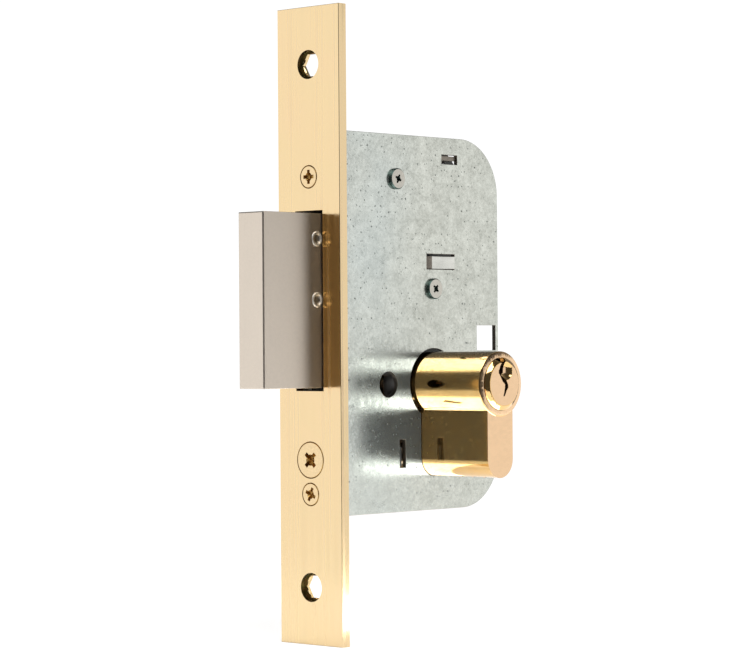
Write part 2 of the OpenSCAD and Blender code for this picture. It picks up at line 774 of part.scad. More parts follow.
// Tumbler: curved lower edge, gate for the stump and two post slots
module tumbler() {
    y = [tumbler_front, tumbler_back];
    through = [tumbler_front - eps, tumbler_back + eps];
    rear = gate_rear + tumbler_rim;
    arm_front = -upper_post_x - post_slot - tumbler_rim;
    down = post_slot + over_lift + slide_gap;
    up = post_slot + tumbler_drop + slide_gap;
    arm_high = upper_post_z + up + tumbler_rim;
    seat_x = lug_x + lug_l / 2;
    rear_low = gate_low - tumbler_rim;
    rear_high = gate_high + tumbler_drop + tumbler_rim;
    bevel = 2;
    color(dark_steel) {
        difference() {
            plate_xz(y, [[-belly_half, tail_low], [belly_half, tail_low],
                [belly_half, rear_low - bevel], [belly_half + bevel, rear_low],
                [rear - bevel, rear_low], [rear, rear_low + bevel],
                [rear, rear_high - bevel], [rear - bevel, rear_high],
                [seat_x + seat_half + bevel, rear_high], [seat_x + seat_half, seat_z],
                [seat_x - seat_half, seat_z],
                [-belly_half + bevel, arm_high - bevel], [-belly_half, arm_high],
                [arm_front + bevel, arm_high], [arm_front, arm_high - bevel],
                [arm_front, arm_low], [-belly_half, arm_low]]);
            rod_y(0, through, 0, belly_r);
            slot_z(-upper_post_x, through, [upper_post_z - down, upper_post_z + up],
                post_slot);
            slot_z(0, through, [lower_post_z - down, lower_post_z + up], post_slot);
            block([gate_front, gate_rear], through, [gate_low, gate_high]);
            for (x = [gate_front, gate_rear - gate_end]) block([x, x + gate_end],
                through, [gate_high - eps, gate_high + tumbler_drop]);
        }
        block([seat_x - peg_half, seat_x + peg_half], y, [seat_z - eps, seat_z + peg_h]);
    }
}

// One point ring of a coil spring's wire, square to the wire
function coil_ring(r, wire_r, angle, z, sides) = [for (k = [0:sides - 1])
    let (a = 360 * k / sides, out = r + wire_r * cos(a))
    [out * cos(angle), out * sin(angle), z + wire_r * sin(a)]];

// A coil spring along +Z whose first and last turns lie close
module coil(length, d, wire, turns, steps, sides) {
    wire_r = wire / 2;
    rings = turns * steps;
    rise = length - wire;
    path = [for (i = [0:rings]) each coil_ring(d / 2 - wire_r, wire_r,
        360 * i / steps, wire_r + rise * i / rings, sides)];
    skin = [for (i = [0:rings - 1], k = [0:sides - 1])
        let (n = (k + 1) % sides, a = i * sides, b = a + sides)
        each [[a + k, b + k, b + n], [a + k, b + n, a + n]]];
    caps = [[for (k = [0:sides - 1]) k],
        [for (k = [0:sides - 1]) (rings + 1) * sides - 1 - k]];
    polyhedron(points = path, faces = concat(skin, caps));
}

module tumbler_spring() {
    x = lug_x + lug_l / 2;
    y = (tumbler_front + tumbler_back) / 2;
    color(zinc) translate([x, y, seat_z + touch_gap])
        coil(lug_z - seat_z - 2 * touch_gap, spring_d, spring_wire, spring_turns,
            10, 6);
}

// Housing: profile, cam gap, plug bores, pin chambers and screw thread
module cylinder_housing() {
    counter_r = plug_head_d / 2 + slide_gap;
    color(polished_brass) difference() {
        union() {
            euro_profile([-cyl_half, cyl_half], 0, 0);
            for (side = [0, 1]) mirror([0, side, 0]) translate([0, cyl_half, 0])
                rotate([-90, 0, 0]) turned_ring(counter_r);
        }
        block([-cyl_r - eps, cyl_r + eps], [-gap_half, gap_half],
            [-gap_below, cyl_r + eps]);
        rod_y(0, [-cyl_half - eps, cyl_half + eps], 0, bore_r);
        for (side = [0, 1]) mirror([0, side, 0]) {
            rod_y(0, [cyl_half - plug_head_l - run_fit, cyl_half + ring_h + eps], 0,
                counter_r);
            for (p = pin_y) rod_z(0, p, [-leg_depth - 1, -plug_r / 2], chamber_r);
        }
        rod_x([-leg_half - eps, leg_half + eps], 0, -cyl_screw_below,
            cyl_screw_d / 2);
    }
}

// Low raised ring round the plug's bore, along +Z
module turned_ring(inner_r) {
    translate([0, 0, -eps])
        cylinder(h = ring_edge + eps, r1 = cyl_r, r2 = cyl_r - ring_edge);
    translate([0, 0, ring_edge])
        cylinder(h = ring_h - ring_edge, r1 = cyl_r - ring_edge, r2 = inner_r);
}

// Outline of the keyway, seen from outside with Z up
keyway = [[-2.6, 7.2], [0.9, 7.2], [0.9, 6.2], [0.6, 5.4], [0.3, 2.9],
    [-0.9, 2.5], [0.6, 1.2], [1.4, -0.1], [1.5, -0.9], [0.8, -1.8], [0.4, -2.6],
    [0, -3.2], [-0.5, -3.2], [-0.2, -2.3], [0.1, -1.1], [0.2, -0.1],
    [-0.7, 0.6], [-1.9, 2.4], [-2.3, 2.8], [-2.3, 3.6], [-1, 4.8], [-1, 5.4],
    [-2.5, 6.2]];

// A plug with its outer end towards -Y
module plug() {
    head_r = plug_head_d / 2;
    face_y = -cyl_half - plug_face_h;
    dish_ball_r = (dish_r * dish_r + dish_depth * dish_depth) / (2 * dish_depth);
    difference() {
        union() {
            rod_y(0, [-cyl_half + plug_head_l - eps, -gap_half], 0, plug_r);
            rod_y(0, [-cyl_half - plug_rim_h, -cyl_half + plug_head_l], 0, head_r);
            translate([0, -cyl_half - plug_rim_h, 0]) rotate([90, 0, 0])
                cylinder(h = plug_face_h - plug_rim_h, r1 = head_r, r2 = plug_face_d / 2);
            rod_y(0, [-gap_half - eps, -stub_end], 0, stub_r);
        }
        plate_xz([face_y - eps, -stub_end + eps], keyway);
        translate([dish_x, face_y + dish_depth - dish_ball_r, dish_z])
            sphere(r = dish_ball_r);
        difference() {
            rod_y(0, [-circlip_out, -circlip_out + circlip_t + circlip_play], 0,
                stub_r + 1);
            rod_y(0, [-gap_half, -stub_end], 0, groove_r);
        }
        block([-stub_r - eps, stub_r + eps],
            [-stub_end - tongue_l - clutch_gap, -stub_end + eps],
            [-tongue_half - slide_gap, tongue_half + slide_gap]);
        for (p = pin_y) rod_z(0, -p, [-plug_r - 1, pin_bore_end], pin_r + run_fit);
    }
}

// The other end's parts are the same ones, turned half round
module far_end() {
    rotate([0, 0, 180]) children();
}

module near_plug() {
    color(polished_brass) plug();
}

module far_plug() {
    color(polished_brass) far_end() plug();
}

module key_pins() {
    tip = 0.7;
    for (i = [0:pins - 1]) translate([0, -pin_y[i], 0]) {
        rod_z(0, 0, [key_pin_low, key_cuts[i] - tip], pin_r);
        translate([0, 0, key_cuts[i] - tip])
            cylinder(h = tip, r1 = pin_r, r2 = pin_r - tip);
    }
}

module near_key_pins() {
    color(brass) key_pins();
}

module far_key_pins() {
    color(brass) far_end() key_pins();
}

module driver_pins() {
    for (p = pin_y) rod_z(0, -p, [driver_top - driver_l, driver_top], pin_r);
}

module near_driver_pins() {
    color(steel) driver_pins();
}

module far_driver_pins() {
    color(steel) far_end() driver_pins();
}

module pin_springs() {
    length = driver_top - driver_l - cap_top - 2 * touch_gap;
    for (p = pin_y) translate([0, -p, cap_top + touch_gap])
        coil(length, pin_d, pin_wire, pin_turns, 8, 4);
}

module near_pin_springs() {
    color(zinc) pin_springs();
}

module far_pin_springs() {
    color(zinc) far_end() pin_springs();
}

module chamber_caps() {
    color(brass) for (side = [-1, 1], p = pin_y)
        rod_z(0, side * p, [cap_top - cap_t, cap_top], chamber_r - press_fit);
}

// Spring ring in the plug's groove, open at the top
module circlip() {
    y = [-circlip_out + touch_gap, -circlip_out + touch_gap + circlip_t];
    through = [y[0] - eps, y[1] + eps];
    difference() {
        rod_y(0, y, 0, circlip_d / 2);
        rod_y(0, through, 0, groove_r + run_fit);
        plate_xz(through, [[0, 0], [-circlip_d / 2, circlip_d],
            [circlip_d / 2, circlip_d]]);
    }
}

module near_circlip() {
    color(dark_steel) circlip();
}

module far_circlip() {
    color(dark_steel) far_end() circlip();
}

// Cam: ring, nose and two inner keyways for the clutch
module cylinder_cam() {
    y = [-cam_w / 2, cam_w / 2];
    through = [y[0] - eps, y[1] + eps];
    key_r = cam_ring_d / 2 - keyway_wall;
    key_half = clutch_lug + slide_gap;
    color(dark_steel) rotate([0, -swing, 0]) difference() {
        union() {
            rod_y(0, y, 0, cam_ring_d / 2);
            intersection() {
                rod_y(0, y, 0, cam_tip);
                plate_xz(y, [[-nose_root, 0], [nose_root, 0],
                    [nose_root, tail_low], [nose_tip, cam_tip],
                    [-nose_tip, cam_tip], [-nose_root, tail_low]]);
            }
        }
        rod_y(0, through, 0, stub_r + run_fit);
        block([-key_half, key_half], through, [-key_r, key_r]);
    }
}

// Clutch: disc with two lugs in the cam and a tongue in the near plug
module clutch() {
    y = [-stub_end + clutch_gap, stub_end - clutch_idle];
    key_r = cam_ring_d / 2 - keyway_wall - slide_gap;
    tongue_r = clutch_r - tongue_short;
    color(steel) {
        rod_y(0, y, 0, clutch_r);
        rotate([0, -swing, 0])
            block([-clutch_lug, clutch_lug], y, [-key_r, key_r]);
        block([-tongue_r, tongue_r], [-stub_end - tongue_l, 0],
            [-tongue_half, tongue_half]);
    }
}

faceplate();
forend_bar();
case_plate();
case_cover();
upper_post();
lower_post();
cover_screws();
faceplate_screws();
cylinder_screw();
bolt_head();
bolt_tail();
bolt_rivets();
bolt_stump();
tumbler();
tumbler_spring();
cylinder_housing();
near_plug();
far_plug();
near_key_pins();
far_key_pins();
near_driver_pins();
far_driver_pins();
near_pin_springs();
far_pin_springs();
chamber_caps();
near_circlip();
far_circlip();
cylinder_cam();
clutch();
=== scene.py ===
"""Finishes, rounded edges, stage and camera for a mortise deadlock and its cylinder."""
import json
import math

import bpy
from mathutils import Matrix, Vector


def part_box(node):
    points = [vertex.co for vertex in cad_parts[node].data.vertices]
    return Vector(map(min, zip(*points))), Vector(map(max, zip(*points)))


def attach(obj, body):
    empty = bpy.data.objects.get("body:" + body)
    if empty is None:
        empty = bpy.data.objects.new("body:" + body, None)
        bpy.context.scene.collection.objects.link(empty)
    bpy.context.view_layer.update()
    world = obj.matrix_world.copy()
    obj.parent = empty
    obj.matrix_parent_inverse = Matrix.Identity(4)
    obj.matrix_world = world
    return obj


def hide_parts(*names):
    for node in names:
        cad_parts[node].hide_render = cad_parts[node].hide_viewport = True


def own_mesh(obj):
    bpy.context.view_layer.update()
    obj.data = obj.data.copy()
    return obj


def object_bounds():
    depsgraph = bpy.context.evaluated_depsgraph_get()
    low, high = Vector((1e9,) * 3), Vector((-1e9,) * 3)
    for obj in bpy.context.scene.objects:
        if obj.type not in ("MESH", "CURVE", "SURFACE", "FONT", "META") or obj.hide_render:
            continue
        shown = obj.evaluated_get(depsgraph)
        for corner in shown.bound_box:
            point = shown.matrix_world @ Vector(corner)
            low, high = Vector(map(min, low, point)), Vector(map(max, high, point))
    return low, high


bl_info = {
    "name": "Mortise deadlock dresser",
    "version": (1, 0, 0),
    "blender": (4, 5, 0),
    "location": "View3D > Sidebar > Deadlock",
    "description": "Gives a mortise deadlock's pieces their rounded edges and finishes",
    "category": "Object",
}

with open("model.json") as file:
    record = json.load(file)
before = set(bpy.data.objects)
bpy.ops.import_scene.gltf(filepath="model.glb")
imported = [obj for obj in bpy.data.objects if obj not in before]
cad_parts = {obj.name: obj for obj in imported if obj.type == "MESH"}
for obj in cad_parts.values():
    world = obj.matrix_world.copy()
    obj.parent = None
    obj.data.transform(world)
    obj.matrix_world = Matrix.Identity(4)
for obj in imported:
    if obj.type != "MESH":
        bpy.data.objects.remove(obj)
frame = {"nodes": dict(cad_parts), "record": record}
cad_box = [list(corner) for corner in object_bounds()]

MM = 0.001

# Corners within MERGE are one, and corners within TOUCH lie on the same face.
MERGE = 0.001 * MM
TOUCH = 0.01 * MM

# Faces that differ by less than FLAT_ANGLE become one, edges over SMOOTH_ANGLE are rounded,
# and faces thinner than SLIVER are dropped.
FLAT_ANGLE = math.radians(0.4)
SMOOTH_ANGLE = math.radians(38)
SLIVER = 0.0001 * MM

# A face is flat towards an axis from FACING on, and a hole's wall up to WALL.
FACING = 0.97
WALL = 0.9

# Rounding of the bolt's rivets, fall from a dome's top to its rim, and depth of the dish.
RIVET_EDGE = 0.18 * MM
RIVET_CREST = 0.141 * MM
RIVET_DISH = 0.5 * MM

# Lanced tab: its end in X and middle in Z, its length and half height, the lip drawn out of
# its end, how far that lip's front falls back, and how deep its face painted lighter as a
# highlight lies at least.
TAB_END = (0.6 * MM, 32.2 * MM)
TAB_LENGTH = 7.8 * MM
TAB_HALF = 1.9 * MM
TAB_LIP = 2.5 * MM
TAB_LIP_FALL = 0.5 * MM
TAB_PRESSED = 0.1 * MM

# How deep a punched hole's wall is torn and painted dark as shade, and how far the change to
# its burnished part goes.
TORN_SHADE_DEPTH = 1.85 * MM
TORN_SHADE_RAGGED = 0.5 * MM
TORN_SHADE_FADE = 0.15 * MM

# Where finishes end: the faceplate's solid rim, and the reach of a fixing hole, of a keyway
# and of a screw's head.
PLATE_RIM = 1.5 * MM
FIXING_REACH = 5 * MM
KEYWAY_REACH = 5 * MM
SCREW_HEAD_REACH = 3 * MM


# ---------------------------------------------------------------- settings

def colour(name, text, value):
    return bpy.props.FloatVectorProperty(
        name=name, description=text, default=value, size=3, min=0, max=1, subtype="COLOR")


def length(name, text, value):
    return bpy.props.FloatProperty(
        name=name, description=text, default=value, min=0, soft_max=2, unit="LENGTH",
        subtype="DISTANCE", precision=5)


def share(name, text, value, top=1.0):
    return bpy.props.FloatProperty(
        name=name, description=text, default=value, min=0, max=top, subtype="FACTOR")


class PlateSettings(bpy.types.PropertyGroup):
    """The brass faceplate and its screws."""
    brass: colour("Brass", "Colour of the satin brass", (0.90, 0.68, 0.37))
    screw_brass: colour("Screw brass", "Colour of the screws", (0.88, 0.67, 0.39))
    roughness: share("Roughness", "Softness of the satin finish", 0.14)
    edge: length("Edge radius", "Rounding of the plate's edges", 0.04 * MM)


class CaseSettings(bpy.types.PropertyGroup):
    """The galvanised case."""
    zinc: colour("Zinc", "Light tone of the galvanised sheet", (0.77, 0.79, 0.72))
    bloom: colour("Bloom", "Darker tone between the crystals", (0.50, 0.515, 0.46))
    roughness: share("Roughness", "Softness of the sheet", 0.18)
    edge: length("Edge radius", "Rounding of the punched edges", 0.24 * MM)
    cut: colour("Cut edge", "Colour of the bare punched edges", (0.36, 0.32, 0.27))
    # Painted shade: the case's inner faces are made this near black because they lie in
    # shade.
    inside: colour("Inside", "Colour of the greased inner faces", (0.10, 0.10, 0.095))


class BoltSettings(bpy.types.PropertyGroup):
    """The bolt, its tail and the tumbler."""
    nickel: colour("Nickel", "Colour of the plated bolt head", (0.70, 0.62, 0.53))
    steel: colour("Steel", "Colour of the plain steel inside", (0.42, 0.42, 0.42))
    roughness: share("Roughness", "Softness of the plating", 0.35)
    edge: length("Edge radius", "Rounding of the tail's and the tumbler's edges", 0.10 * MM)
    head_edge: length("Head's edge radius", "Rounding of the bolt head's edges", 0.07 * MM)


class CylinderSettings(bpy.types.PropertyGroup):
    """The profile cylinder."""
    brass: colour("Brass", "Colour of the polished brass", (0.93, 0.60, 0.23))
    end_face: colour("End face", "Colour of the milled end faces", (0.93, 0.64, 0.39))
    roughness: share("Roughness", "Softness of the polish", 0.09)
    edge: length("Edge radius", "Rounding of the housing's edges", 0.12 * MM)


class StageSettings(bpy.types.PropertyGroup):
    """Camera, lights and floor."""
    camera_place: bpy.props.FloatVectorProperty(
        name="Camera place", description="Where the camera stands",
        default=(-0.53323, -0.48301, 0.01052), size=3, subtype="TRANSLATION", unit="LENGTH")
    heading: bpy.props.FloatProperty(
        name="Heading", description="Direction the camera looks in, from +X towards +Y",
        default=math.radians(43.004), subtype="ANGLE", unit="ROTATION")
    pitch: bpy.props.FloatProperty(
        name="Pitch", description="How far the camera looks up",
        default=math.radians(0.381), subtype="ANGLE", unit="ROTATION")
    roll: bpy.props.FloatProperty(
        name="Roll", description="Turn of the camera about its own view",
        default=math.radians(-0.393), subtype="ANGLE", unit="ROTATION")
    lens: bpy.props.FloatProperty(
        name="Lens", description="Focal length on a 36 mm sensor", default=128.917,
        min=10, unit="CAMERA")
    floor_tone: colour("Floor", "Colour of the floor and backdrop", (0.86, 0.86, 0.86))


# ------------------------------------------------------------- node helpers

def fill_inputs(tree, node, links):
    for key, value in links.items():
        if isinstance(value, bpy.types.NodeSocket):
            tree.links.new(value, node.inputs[key])
        else:
            node.inputs[key].default_value = value


def add_node(tree, kind, links=None, **settings):
    """A node with its properties set and its inputs linked or given values."""
    node = tree.nodes.new(kind)
    for key, value in settings.items():
        setattr(node, key, value)
    fill_inputs(tree, node, links or {})
    return node


def maths(tree, operation, a, b=0.0):
    return add_node(tree, "ShaderNodeMath", {0: a, 1: b}, operation=operation).outputs[0]


def remap(tree, value, low, high, to_low=0.0, to_high=1.0):
    return add_node(tree, "ShaderNodeMapRange", {
        "Value": value, "From Min": low, "From Max": high,
        "To Min": to_low, "To Max": to_high}).outputs["Result"]


def blend_colours(tree, factor, a, b):
    node = add_node(tree, "ShaderNodeMix", {0: factor}, data_type="RGBA")
    for socket, value in ((node.inputs[6], a), (node.inputs[7], b)):
        if isinstance(value, bpy.types.NodeSocket):
            tree.links.new(value, socket)
        else:
            socket.default_value = (*value[:3], 1)
    return node.outputs[2]


def stretch(tree, vector, scale):
    return add_node(tree, "ShaderNodeVectorMath", {0: vector, 1: scale},
                    operation="MULTIPLY").outputs[0]


def noise(tree, vector, scale, detail=2.0, roughness=0.5, distortion=0.0):
    return add_node(tree, "ShaderNodeTexNoise", {
        "Vector": vector, "Scale": scale, "Detail": detail, "Roughness": roughness,
        "Distortion": distortion}).outputs["Fac"]


def new_group(name, inputs, outputs):
    """A shader node group; inputs are (name, socket type, default)."""
    tree = bpy.data.node_groups.new(name, "ShaderNodeTree")
    for title, kind, default in inputs:
        socket = tree.interface.new_socket(title, in_out="INPUT", socket_type=kind)
        if default is not None:
            socket.default_value = default
    for title, kind in outputs:
        tree.interface.new_socket(title, in_out="OUTPUT", socket_type=kind)
    start = tree.nodes.new("NodeGroupInput")
    end = tree.nodes.new("NodeGroupOutput")
    return tree, start.outputs, end.inputs


def use_group(tree, group, links):
    """A group in a material, with its inputs linked or given values."""
    node = tree.nodes.new("ShaderNodeGroup")
    node.node_tree = group
    fill_inputs(tree, node, links)
    return node.outputs


# --------------------------------------------------------- shared effects

def grain_group():
    """Fine parallel lines left by a belt or a lathe."""
    tree, given, wanted = new_group(
        "Belt grain",
        [("Vector", "NodeSocketVector", None),
         ("Lines", "NodeSocketVector", (4000.0, 4000.0, 60.0)),
         ("Contrast", "NodeSocketFloat", 1.0)],
        [("Height", "NodeSocketFloat"), ("Streak", "NodeSocketFloat")])
    across = stretch(tree, given["Vector"], given["Lines"])
    fine = noise(tree, across, 1.0, detail=3.0, roughness=0.65)
    coarse = noise(tree, stretch(tree, across, (0.23, 0.23, 0.35)), 1.0, detail=2.0)
    both = maths(tree, "ADD", maths(tree, "MULTIPLY", fine, 0.65),
                 maths(tree, "MULTIPLY", coarse, 0.35))
    centred = maths(tree, "SUBTRACT", both, 0.5)
    tree.links.new(maths(tree, "MULTIPLY", centred, given["Contrast"]), wanted["Height"])
    tree.links.new(remap(tree, coarse, 0.35, 0.65), wanted["Streak"])
    return tree


def bloom_group():
    """Cloudy zinc crystals with sparse dark specks of uneven shape and size."""
    tree, given, wanted = new_group(
        "Zinc bloom",
        [("Vector", "NodeSocketVector", None),
         ("Cloud size", "NodeSocketFloat", 330.0),
         ("Specks", "NodeSocketFloat", 0.5)],
        [("Tone", "NodeSocketFloat"), ("Speck", "NodeSocketFloat"),
         ("Tint", "NodeSocketFloat"), ("Height", "NodeSocketFloat")])
    vector = given["Vector"]
    cloud = noise(tree, vector, given["Cloud size"], detail=5.0, roughness=0.62,
                  distortion=0.6)
    patches = noise(tree, vector, 62.0, detail=2.0, distortion=0.5)
    fine = noise(tree, vector, 1500.0, detail=3.0, roughness=0.75)
    tone = maths(tree, "ADD", maths(tree, "MULTIPLY", cloud, 0.8),
                 maths(tree, "ADD", maths(tree, "MULTIPLY", patches, 0.3),
                       maths(tree, "MULTIPLY", fine, 0.9)))
    tree.links.new(remap(tree, tone, 0.74, 1.26), wanted["Tone"])
    axes = add_node(tree, "ShaderNodeSeparateXYZ", {0: vector}).outputs
    wobble = maths(tree, "MULTIPLY", maths(tree, "SUBTRACT", fine, 0.5), 0.7 * MM)
    flat = add_node(tree, "ShaderNodeCombineXYZ", {
        "X": maths(tree, "ADD", axes["X"], wobble),
        "Y": maths(tree, "SUBTRACT", axes["Z"], wobble)}).outputs[0]
    dots = add_node(tree, "ShaderNodeTexVoronoi", {
        "Vector": flat, "Scale": 760.0, "Randomness": 1.0},
        feature="F1", voronoi_dimensions="2D")
    draw = add_node(tree, "ShaderNodeSeparateColor", {0: dots.outputs["Color"]}).outputs
    limit = maths(tree, "MULTIPLY", given["Specks"],
                  remap(tree, patches, 0.42, 0.6, 0.2, 1.0))
    chosen = maths(tree, "LESS_THAN", draw[1], limit)
    size = remap(tree, draw[2], 0, 1, 0.08, 0.21)
    disc = maths(tree, "LESS_THAN", dots.outputs["Distance"], size)
    strength = remap(tree, draw[0], 0, 1, 0.25, 1.0)
    tree.links.new(maths(tree, "MULTIPLY", strength, maths(tree, "MULTIPLY", chosen, disc)),
                   wanted["Speck"])
    tree.links.new(remap(tree, noise(tree, vector, 38.0, detail=2.0), 0.42, 0.66),
                   wanted["Tint"])
    tree.links.new(maths(tree, "ADD", maths(tree, "MULTIPLY", cloud, 0.4), fine),
                   wanted["Height"])
    return tree


def handling_group():
    """Broad soft smears that change how glossy a surface is."""
    tree, given, wanted = new_group(
        "Handling",
        [("Vector", "NodeSocketVector", None),
         ("Size", "NodeSocketFloat", 90.0),
         ("Amount", "NodeSocketFloat", 0.06)],
        [("Roughness", "NodeSocketFloat"), ("Smear", "NodeSocketFloat")])
    smear = noise(tree, given["Vector"], given["Size"], detail=4.0, roughness=0.6,
                  distortion=0.8)
    centred = maths(tree, "SUBTRACT", smear, 0.5)
    tree.links.new(maths(tree, "MULTIPLY", centred, given["Amount"]), wanted["Roughness"])
    tree.links.new(remap(tree, smear, 0.35, 0.7), wanted["Smear"])
    return tree


EFFECTS = {}


def effect(name):
    """The node group of an effect, made the first time that a finish needs it."""
    makers = {"grain": grain_group, "bloom": bloom_group, "handling": handling_group}
    if name not in EFFECTS:
        EFFECTS[name] = makers[name]()
    return EFFECTS[name]


# -------------------------------------------------------------- materials

def metal(name, base, roughness):
    """A material with a metallic Principled shader; returns what its makers link."""
    material = bpy.data.materials.new(name)
    material.use_nodes = True
    tree = material.node_tree
    tree.nodes.clear()
    shader = add_node(tree, "ShaderNodeBsdfPrincipled", {
        "Base Color": (*base, 1), "Metallic": 1.0, "Roughness": roughness})
    output = add_node(tree, "ShaderNodeOutputMaterial")
    tree.links.new(shader.outputs[0], output.inputs["Surface"])
    place = add_node(tree, "ShaderNodeTexCoord").outputs["Object"]
    return material, tree, shader, place


def set_bump(tree, shader, height, distance):
    bump = add_node(tree, "ShaderNodeBump", {
        "Height": height, "Distance": distance, "Strength": 1.0})
    tree.links.new(bump.outputs[0], shader.inputs["Normal"])


def lacquer(shader, roughness):
    """A clear coat over the metal."""
    shader.inputs["Coat Weight"].default_value = 1.0
    shader.inputs["Coat IOR"].default_value = 1.5
    shader.inputs["Coat Roughness"].default_value = roughness


def vary_roughness(tree, shader, base, *changes):
    """The base roughness and what changes it, never quite a mirror."""
    value = base
    for change in changes:
        value = maths(tree, "ADD", value, change)
    tree.links.new(maths(tree, "MAXIMUM", value, 0.03), shader.inputs["Roughness"])


def paint_reflection_tone(tree, shader, tone, painted_reflection_tone):
    """The metal's own tone to the eye, and a painted reflection tone where shiny metal
    mirrors it.
    """
    glossy = add_node(tree, "ShaderNodeLightPath").outputs["Is Glossy Ray"]
    tree.links.new(blend_colours(tree, glossy, tone, painted_reflection_tone), shader.inputs["Base Color"])


def belted_metal(name, base, roughness, lines, depth, shade=0.9, painted_reflection_tone=None):
    """Metal with a belt or lathe grain: satin brass, plating, turned steel."""
    material, tree, shader, place = metal(name, base, roughness)
    grain = use_group(tree, effect("grain"), {"Vector": place, "Lines": lines})
    marks = use_group(tree, effect("handling"), {"Vector": place, "Amount": 0.05})
    darker = [channel * shade for channel in base]
    tone = blend_colours(tree, grain["Streak"], darker, base)
    paler = [min(channel * 1.04, 1) for channel in base]
    tone = blend_colours(tree, maths(tree, "MULTIPLY", marks["Smear"], 0.5), tone, paler)
    # A painted reflection tone, where one is given, replaces the metal's tone in
    # reflections.
    if painted_reflection_tone:
        paint_reflection_tone(tree, shader, tone, painted_reflection_tone)
    else:
        tree.links.new(tone, shader.inputs["Base Color"])
    vary_roughness(tree, shader, roughness, marks["Roughness"],
                   maths(tree, "MULTIPLY", grain["Height"], 0.12))
    set_bump(tree, shader, grain["Height"], depth)
    return material


def satin_brass(settings):
    """Brass brushed along Z: fine grain, broader streaks, reflections drawn out sideways."""
    material, tree, shader, place = metal("faceplate_brass", settings.brass,
                                          settings.roughness)
    fine = use_group(tree, effect("grain"), {
        "Vector": place, "Lines": (9000.0, 9000.0, 70.0)})
    broad = use_group(tree, effect("grain"), {
        "Vector": place, "Lines": (3400.0, 3400.0, 22.0)})
    marks = use_group(tree, effect("handling"), {
        "Vector": place, "Size": 60.0, "Amount": 0.05})
    darker = [channel * 0.94 for channel in settings.brass]
    tone = blend_colours(tree, broad["Streak"], darker, settings.brass)
    pinker = [settings.brass[0], settings.brass[1] * 0.965, settings.brass[2]]
    tone = blend_colours(tree, maths(tree, "MULTIPLY", marks["Smear"], 0.6), tone, pinker)
    tree.links.new(tone, shader.inputs["Base Color"])
    vary_roughness(tree, shader, settings.roughness, marks["Roughness"],
                   remap(tree, broad["Streak"], 0, 1, -0.06, 0.17))
    height = maths(tree, "ADD", maths(tree, "MULTIPLY", fine["Height"], 0.35),
                   broad["Height"])
    set_bump(tree, shader, height, 0.02 * MM)
    lacquer(shader, 0.12)
    shader.inputs["Anisotropic"].default_value = 0.6
    along = add_node(tree, "ShaderNodeTangent", direction_type="RADIAL", axis="Z")
    tree.links.new(along.outputs[0], shader.inputs["Tangent"])
    return material


def punched_brass(settings):
    """A punched hole's wall: torn and painted dark as shade near the front, burnished near
    the back.
    """
    material, tree, shader, place = metal("cut_brass", settings.brass, settings.roughness)
    marks = use_group(tree, effect("handling"), {"Vector": place, "Size": 700.0})
    depth = add_node(tree, "ShaderNodeSeparateXYZ", {0: place}).outputs["X"]
    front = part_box("faceplate")[0][0]
    ragged = maths(tree, "ADD", depth,
                   maths(tree, "MULTIPLY", marks["Smear"], TORN_SHADE_RAGGED))
    burnished = remap(tree, ragged, front + TORN_SHADE_DEPTH, front + TORN_SHADE_DEPTH + TORN_SHADE_FADE)
    # The torn zone's greenish black is partly its rough tear and partly painted shade.
    torn_shade = blend_colours(tree, marks["Smear"], (0.10, 0.05, 0.015), (0.03, 0.05, 0.01))
    tone = blend_colours(tree, burnished, torn_shade, settings.brass)
    tree.links.new(tone, shader.inputs["Base Color"])
    tree.links.new(remap(tree, burnished, 0, 1, 0.45, 0.2), shader.inputs["Roughness"])
    return material


def galvanised_sheet(settings):
    """Zinc with cloudy bloom, dark specks, and an oily blue towards the front."""
    material, tree, shader, place = metal("galvanised_sheet", settings.zinc,
                                          settings.roughness)
    shader.inputs["Metallic"].default_value = 0.93
    bloom = use_group(tree, effect("bloom"), {"Vector": place, "Specks": 0.42})
    tone = blend_colours(tree, bloom["Tone"], settings.bloom, settings.zinc)
    bluish = [settings.bloom[0] * 1.15, settings.bloom[1] * 1.3, settings.bloom[2] * 1.5]
    forward = add_node(tree, "ShaderNodeSeparateXYZ", {0: place}).outputs["X"]
    oiled = maths(tree, "MULTIPLY", remap(tree, bloom["Tint"], 0, 1, 0.5, 1),
                  remap(tree, forward, -4 * MM, -22 * MM))
    tone = blend_colours(tree, maths(tree, "MULTIPLY", oiled, 0.34), tone, bluish)
    tone = blend_colours(tree, maths(tree, "MULTIPLY", bloom["Speck"], 0.8), tone,
                         (0.16, 0.18, 0.17))
    tree.links.new(tone, shader.inputs["Base Color"])
    vary_roughness(tree, shader, settings.roughness,
                   remap(tree, bloom["Tone"], 0, 1, 0.10, -0.05),
                   maths(tree, "MULTIPLY", bloom["Speck"], 0.3))
    set_bump(tree, shader, bloom["Height"], 0.012 * MM)
    return material


def polished_brass(settings):
    """Lacquered brass with faint turning lines; a greyer painted reflection where the sheet
    mirrors it.
    """
    material, tree, shader, place = metal("cylinder_brass", settings.brass,
                                          settings.roughness)
    marks = use_group(tree, effect("handling"), {
        "Vector": place, "Size": 130.0, "Amount": 0.08})
    grain = use_group(tree, effect("grain"), {
        "Vector": place, "Lines": (5000.0, 120.0, 5000.0)})
    reddish = [settings.brass[0], settings.brass[1] * 0.92, settings.brass[2] * 0.8]
    tone = blend_colours(tree, marks["Smear"], settings.brass, reddish)
    paint_reflection_tone(tree, shader, tone, (0.34, 0.35, 0.33))
    vary_roughness(tree, shader, settings.roughness, marks["Roughness"])
    lacquer(shader, 0.04)
    set_bump(tree, shader, grain["Height"], 0.002 * MM)
    return material


